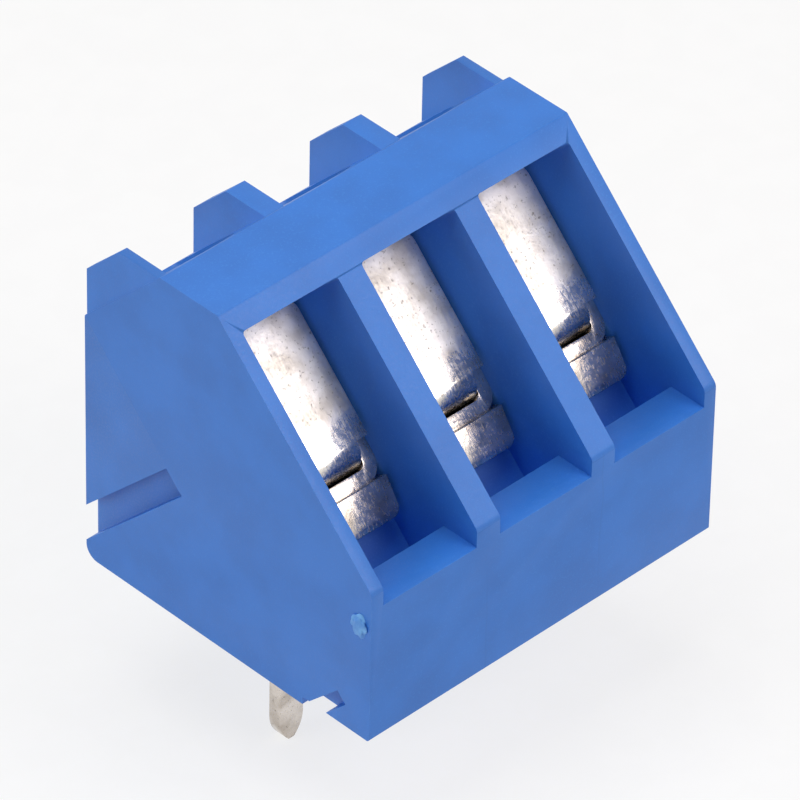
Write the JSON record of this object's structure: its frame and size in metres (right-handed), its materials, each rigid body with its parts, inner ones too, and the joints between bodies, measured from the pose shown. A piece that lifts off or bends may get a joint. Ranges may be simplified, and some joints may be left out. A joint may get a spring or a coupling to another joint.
{
  "type": "pcb screw terminal",
  "caption": "Solder-mount screw terminal block with a 45 degree wire slope, deep wire windows, sliding wire guards and captive clamp screws behind.",
  "frame": {"origin": "middle of the row of solder pins, on the board plane", "axes": "+X along the row, -Y towards the wire slope's front face, +Z away from the board"},
  "size_m": [0.0155, 0.0128, 0.0179],
  "materials": {
    "blue_nylon": "moulded nylon, fine satin",
    "tinned_brass": "tin plated, semi-bright",
    "tinned_leaf": "tin plated, bright",
    "zinc_steel": "zinc plated"
  },
  "bodies": {
    "base": {"housing": "blue_nylon", "contact_1": "tinned_brass", "contact_2": "tinned_brass", "contact_3": "tinned_brass"},
    "guard_1": {"wire_guard_1": "tinned_leaf"},
    "screw_1": {"clamp_screw_1": "zinc_steel"},
    "guard_2": {"wire_guard_2": "tinned_leaf"},
    "screw_2": {"clamp_screw_2": "zinc_steel"},
    "guard_3": {"wire_guard_3": "tinned_leaf"},
    "screw_3": {"clamp_screw_3": "zinc_steel"}
  },
  "joints": [
    {"name": "guard_slide_1", "type": "slide", "parent": "base", "child": "guard_1", "axis": [0, 0.7071, 0.7071], "range_m": [0, 0.002]},
    {"name": "screw_turn_1", "type": "hinge", "parent": "guard_1", "child": "screw_1", "pos_m": [-0.005, 0.00368, 0.00997], "axis": [0, 0.7071, 0.7071], "range_deg": [0, 1600]},
    {"name": "guard_slide_2", "type": "slide", "parent": "base", "child": "guard_2", "axis": [0, 0.7071, 0.7071], "range_m": [0, 0.002]},
    {"name": "screw_turn_2", "type": "hinge", "parent": "guard_2", "child": "screw_2", "pos_m": [0, 0.00368, 0.00997], "axis": [0, 0.7071, 0.7071], "range_deg": [0, 1600]},
    {"name": "guard_slide_3", "type": "slide", "parent": "base", "child": "guard_3", "axis": [0, 0.7071, 0.7071], "range_m": [0, 0.002]},
    {"name": "screw_turn_3", "type": "hinge", "parent": "guard_3", "child": "screw_3", "pos_m": [0.005, 0.00368, 0.00997], "axis": [0, 0.7071, 0.7071], "range_deg": [0, 1600]}
  ],
  "couplings": [
    {"joint": "screw_turn_1", "follows": "guard_slide_1", "rad_per_m": 13963},
    {"joint": "screw_turn_2", "follows": "guard_slide_2", "rad_per_m": 13963},
    {"joint": "screw_turn_3", "follows": "guard_slide_3", "rad_per_m": 13963}
  ]
}
